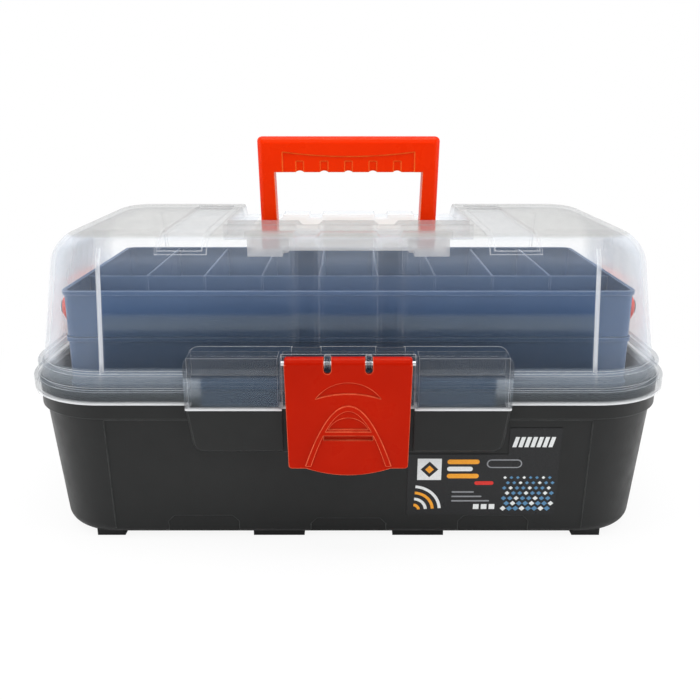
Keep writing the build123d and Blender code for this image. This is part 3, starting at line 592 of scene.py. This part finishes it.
def lozenge(middle: tuple[float, float], width: float, height: float) -> Outline:
    """An upright lozenge about a middle, as an outline in millimetres."""
    x, z = middle
    return [(x, z - height / 2), (x + width / 2, z), (x, z + height / 2), (x - width / 2, z)]


@dataclass
class Label:
    """The printed film on the tub's front, with a generic pattern of ripples, lozenges and bars.

    Its sizes are in millimetres. A place is along and up the film, from its lower left corner.
    """

    lift: float = 0.04
    ink_depth: float = 0.06
    film: tuple[float, float] = (94.0, 43.0)
    tab: tuple[float, float] = (32.0, 18.0)
    panel: tuple[float, float, float] = (6.0, 25.0, 15.0)
    emblem_middle: tuple[float, float] = (13.5, 32.5)
    emblem_sizes: tuple[float, float] = (11.0, 5.5)
    bar_start: tuple[float, float] = (24.5, 36.2)
    bar_lengths: tuple[float, ...] = (20.0, 16.0, 20.0)
    bar_pitch: float = 5.0
    bar_height: float = 3.2
    pill: tuple[float, float, float, float] = (49.0, 33.5, 22.0, 6.0)
    pill_line: float = 0.8
    line_start: tuple[float, float] = (28.0, 9.5)
    line_lengths: tuple[float, ...] = (24.0, 19.0, 14.0)
    line_pitch: float = 3.2
    line_height: float = 1.0
    red_bar: tuple[float, float, float, float] = (42.0, 21.5, 12.0, 2.6)
    square_places: tuple[float, ...] = (42.0, 47.0, 52.0)
    square_low: float = 4.0
    square_side: float = 3.6
    ripple_centre: tuple[float, float] = (4.0, 3.5)
    ripple_step: float = 4.4
    ripple_width: float = 1.9
    ripple_sweep: tuple[float, float] = (4.0, 86.0)
    ripple_count: int = 4
    lozenge_pitch: tuple[float, float] = (4.0, 3.7)
    lozenge_grid: tuple[int, int] = (8, 7)
    lozenge_start: tuple[float, float] = (61.0, 4.5)
    lozenge_size: tuple[float, float] = (3.9, 3.6)
    lozenge_shrink: float = 0.07
    slat_start: tuple[float, float] = (2.0, 5.0)
    slat_size: tuple[float, float] = (2.5, 7.0)
    slat_lean: float = 1.8
    slat_pitch: float = 3.7
    slat_count: int = 7

    def film_plane(self) -> tuple[Vector, Vector, Vector, Vector]:
        """Finds the film's front face from its CAD node.

        Returns:
            The face's lower left corner, the way along it, the way up it, and the way out of it.
        """
        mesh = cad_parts["front_label"].data
        face = max((p for p in mesh.polygons if p.normal.y < -0.5), key=lambda p: p.area)
        out = face.normal.normalized()
        across = Vector((1, 0, 0))
        up = out.cross(across).normalized()
        points = [mesh.vertices[i].co for p in mesh.polygons if p.normal.dot(out) > 0.999
                  for i in p.vertices]
        corner = across * min(p.x for p in points) + up * min(p.dot(up) for p in points)
        return corner + out * max(p.dot(out) for p in points), across, up, out

    def print_shapes(self, name: str, outlines: list[Outline], ink: bpy.types.Material,
                     layer: int = 0) -> None:
        """Lays printed shapes of one colour on the film, as one thin piece.

        Args:
            name: The piece's name.
            outlines: The corners of each shape, in millimetres along and up the film.
            ink: Their material.
            layer: How many layers of ink lie under them.
        """
        corner, across, up, out = self.film_plane()
        lift = self.lift + layer * (self.lift + self.ink_depth)
        shapes = bmesh.new()
        for outline in outlines:
            corners = [corner + (across * x + up * z + out * lift) * MM for x, z in outline]
            face = shapes.faces.new([shapes.verts.new(point) for point in corners])
            raised = bmesh.ops.extrude_face_region(shapes, geom=[face])["geom"]
            moved = [item for item in raised if isinstance(item, bmesh.types.BMVert)]
            bmesh.ops.translate(shapes, verts=moved, vec=out * self.ink_depth * MM)
        bmesh.ops.recalc_face_normals(shapes, faces=shapes.faces)
        mesh = bpy.data.meshes.new(name)
        shapes.to_mesh(mesh)
        shapes.free()
        piece = bpy.data.objects.new(name, mesh)
        bpy.context.scene.collection.objects.link(piece)
        mesh.materials.append(ink)
        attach(piece, "tub")
        LOG.info("printed %s, %d shapes", name, len(outlines))

    def ripples(self) -> list[Outline]:
        """The rings that spread from the film's lower left corner."""
        radii = [self.ripple_step * (i + 1) - self.ripple_width for i in range(self.ripple_count)]
        return [ripple(self.ripple_centre, radius, self.ripple_width, self.ripple_sweep) for radius in radii]

    def lozenges(self) -> tuple[list[Outline], list[Outline]]:
        """The field of lozenges on the right, smaller towards the top, in two colours by turns."""
        white, blue = [], []
        columns, rows = self.lozenge_grid
        for row in range(rows):
            width, height = (size * (1 - self.lozenge_shrink * row) for size in self.lozenge_size)
            z = self.lozenge_start[1] + row * self.lozenge_pitch[1]
            for column in range(columns):
                x = self.lozenge_start[0] + (column + 0.5 * (row % 2)) * self.lozenge_pitch[0]
                if x > self.film[0] - self.lozenge_pitch[0] / 2:
                    continue
                (white if (row + 2 * column) % 3 == 0 else blue).append(lozenge((x, z), width, height))
        return white, blue

    def slats(self) -> list[Outline]:
        """The row of leaning slats on the tab."""
        left, low = self.film[0] - self.tab[0] + self.slat_start[0], self.film[1] + self.slat_start[1]
        width, height = self.slat_size
        high, lean = low + height, self.slat_lean
        starts = [left + i * self.slat_pitch for i in range(self.slat_count)]
        return [[(x, low), (x + width, low), (x + width + lean, high), (x + lean, high)] for x in starts]

    def bars(self) -> list[Outline]:
        """The three thick bars, from the top down."""
        left, low = self.bar_start
        return [bar(left, low - self.bar_pitch * i, length, self.bar_height)
                for i, length in enumerate(self.bar_lengths)]

    def lines(self) -> list[Outline]:
        """The three thin lines, from the bottom up."""
        left, low = self.line_start
        return [bar(left, low + self.line_pitch * i, length, self.line_height)
                for i, length in enumerate(self.line_lengths)]

    def pills(self) -> tuple[Outline, Outline]:
        """The outer and the inner outline of the long pill."""
        left, low, length, height = self.pill
        inset = self.pill_line
        return bar(*self.pill), bar(left + inset, low + inset, length - 2 * inset, height - 2 * inset)

    def dress(self) -> None:
        """Dresses the film and prints its pattern."""
        film, white, amber = FILM_BLACK.build(), INK_WHITE.build(), INK_AMBER.build()
        blue, grey, red = INK_BLUE.build(), INK_GREY.build(), INK_RED.build()
        dress("front_label", film)
        pale, dark = self.lozenges()
        rings, bars = self.ripples(), self.bars()
        outer_pill, inner_pill = self.pills()
        emblem = [lozenge(self.emblem_middle, size, size) for size in self.emblem_sizes]
        squares = [square(x, self.square_low, self.square_side) for x in self.square_places]
        self.print_shapes("label_pale_panel", [square(*self.panel)], white)
        self.print_shapes("label_dark_lozenges", emblem[:1], film, layer=1)
        self.print_shapes("label_amber_lozenge", emblem[1:], amber, layer=2)
        self.print_shapes("label_amber_shapes", bars[:1] + bars[2:] + rings[::2], amber)
        self.print_shapes("label_white_shapes", bars[1:2] + rings[1::2] + squares, white)
        self.print_shapes("label_grey_pill", [outer_pill], grey)
        self.print_shapes("label_dark_pill", [inner_pill], film, layer=1)
        self.print_shapes("label_grey_lines", self.lines(), grey)
        self.print_shapes("label_red_bar", [bar(*self.red_bar)], red)
        self.print_shapes("label_white_lozenges", pale, white)
        self.print_shapes("label_blue_lozenges", dark, blue)
        self.print_shapes("label_tab_slats", self.slats(), white)


@dataclass(frozen=True)
class Softbox:
    """A soft lamp: its place, width and height in metres, and its power in watts."""

    name: str
    place: Vector
    size: tuple[float, float]
    watts: float

    def hang(self, aim: Vector) -> None:
        """Hangs the lamp and turns it to a point."""
        data = bpy.data.lights.new(self.name, "AREA")
        data.shape = "RECTANGLE"
        data.size, data.size_y = self.size
        data.energy = self.watts
        lamp = bpy.data.objects.new(self.name, data)
        lamp.location = self.place
        lamp.rotation_euler = (aim - self.place).to_track_quat("-Z", "Y").to_euler()
        bpy.context.scene.collection.objects.link(lamp)


SOFTBOXES = (
    Softbox("overhead_softbox", Vector((0, -0.1, 1.3)), (1.2, 0.7), 10),
    Softbox("front_softbox", Vector((0, -1.3, 1.1)), (1.4, 0.6), 3.2),
    Softbox("left_softbox", Vector((-1.3, -0.4, 0.5)), (0.7, 0.9), 5.5),
    Softbox("right_softbox", Vector((1.3, -0.4, 0.5)), (0.7, 0.9), 5.5))


@dataclass
class Studio:
    """The pale floor, the soft lights and the camera at the photograph's angle.

    The room is lit where a direction's height or its lean to a side lies past the limits given.
    """

    focal_px: float = 800.0
    horizon_px: float = 105.0
    eye: Vector = field(default_factory=lambda: Vector((1.0, -547.8, 267.5)) * MM)
    sensor_mm: float = 36.0
    room: float = 0.8
    dim: float = 0.22
    lit_above: tuple[float, float] = (0.08, 0.6)
    lit_aside: tuple[float, float] = (0.4, 0.9)
    lit_behind: tuple[float, float] = (0.2, 0.7)
    aim: Vector = field(default_factory=lambda: Vector((0, 0, 0.1)))
    floor_reach: float = 30.0
    floor_fade: tuple[float, float, float, float] = (0.2, 0.5, 0.9, 1.0)

    def camera(self) -> None:
        """Sets the camera up."""
        data = bpy.data.cameras.new("photo_camera")
        data.sensor_width = self.sensor_mm
        data.lens = self.sensor_mm * self.focal_px / PHOTO_WIDTH_PX
        camera = bpy.data.objects.new("photo_camera", data)
        pitch = math.atan2(PHOTO_WIDTH_PX / 2 - self.horizon_px, self.focal_px)
        camera.location = self.eye
        camera.rotation_euler = (math.pi / 2 - pitch, 0, 0)
        bpy.context.scene.collection.objects.link(camera)
        bpy.context.scene.camera = camera
        LOG.info("camera %.1f mm, pitched %.1f degrees", data.lens, math.degrees(pitch))

    def floor(self) -> None:
        """Lays the pale floor, which keeps the shadow near the object and is white further off."""
        mesh = bpy.data.meshes.new("floor")
        reach = self.floor_reach
        corners = [(-reach, -reach, 0), (reach, -reach, 0), (reach, reach, 0), (-reach, reach, 0)]
        mesh.from_pydata(corners, [], [(0, 1, 2, 3)])
        floor = bpy.data.objects.new("floor", mesh)
        bpy.context.scene.collection.objects.link(floor)
        graph = Graph("pale_floor")
        graph.fix(Base_Color=(0.92, 0.92, 0.92, 1), Roughness=0.9, Specular_IOR_Level=0.1)
        distance = graph.add("ShaderNodeVectorMath", operation="LENGTH")
        graph.join(graph.place, distance.inputs[0])
        far = graph.remap(distance.outputs["Value"], *self.floor_fade)
        path = graph.add("ShaderNodeLightPath")
        seen = graph.math("ADD", path.outputs["Is Camera Ray"], path.outputs["Is Transmission Ray"])
        white = graph.add("ShaderNodeEmission")
        blend = graph.add("ShaderNodeMixShader")
        graph.join(graph.math("MULTIPLY", far, seen), blend.inputs[0])
        graph.join(graph.shader.outputs[0], blend.inputs[1])
        graph.join(white.outputs[0], blend.inputs[2])
        graph.join(blend.outputs[0], graph.output.inputs["Surface"])
        mesh.materials.append(graph.material)

    def world(self) -> None:
        """Lights the room from above and the sides, dim in front, and shows white to the camera."""
        world = bpy.data.worlds.new("studio")
        bpy.context.scene.world = world
        world.use_nodes = True
        tree = world.node_tree

        def lit(source: Socket, limits: tuple[float, float], turn: int = 1) -> Socket:
            """Gives the room's light past the limits, and the dim light before them."""
            node = tree.nodes.new("ShaderNodeMapRange")
            values = (turn * limits[0], turn * limits[1], self.dim, self.room)
            for key, value in zip(("From Min", "From Max", "To Min", "To Max"), values):
                node.inputs[key].default_value = value
            tree.links.new(source, node.inputs["Value"])
            return node.outputs["Result"]

        def most(first: Socket, second: Socket) -> Socket:
            """Gives the larger of two values."""
            node = tree.nodes.new("ShaderNodeMath")
            node.operation = "MAXIMUM"
            tree.links.new(first, node.inputs[0])
            tree.links.new(second, node.inputs[1])
            return node.outputs[0]

        place = tree.nodes.new("ShaderNodeTexCoord")
        spot = tree.nodes.new("ShaderNodeSeparateXYZ")
        tree.links.new(place.outputs["Generated"], spot.inputs[0])
        above = lit(spot.outputs["Z"], self.lit_above)
        right = lit(spot.outputs["X"], self.lit_aside)
        left = lit(spot.outputs["X"], self.lit_aside, -1)
        behind = lit(spot.outputs["Y"], self.lit_behind)
        light = most(most(above, behind), most(left, right))
        path = tree.nodes.new("ShaderNodeLightPath")
        seen = most(path.outputs["Is Camera Ray"], path.outputs["Is Transmission Ray"])
        back = tree.nodes["Background"]
        back.inputs["Color"].default_value = (1, 1, 1, 1)
        tree.links.new(most(seen, light), back.inputs["Strength"])

    def build(self) -> None:
        """Builds the whole studio."""
        self.camera()
        self.floor()
        self.world()
        for softbox in SOFTBOXES:
            softbox.hang(self.aim)
        bpy.context.scene.view_settings.view_transform = "Standard"


def main() -> None:
    """Builds every sub-assembly in order."""
    logging.basicConfig(level=logging.INFO)
    Studio().build()
    Casing().dress()
    Grips().dress()
    TrayStack().dress()
    Label().dress()


if __name__ == "__main__":
    main()
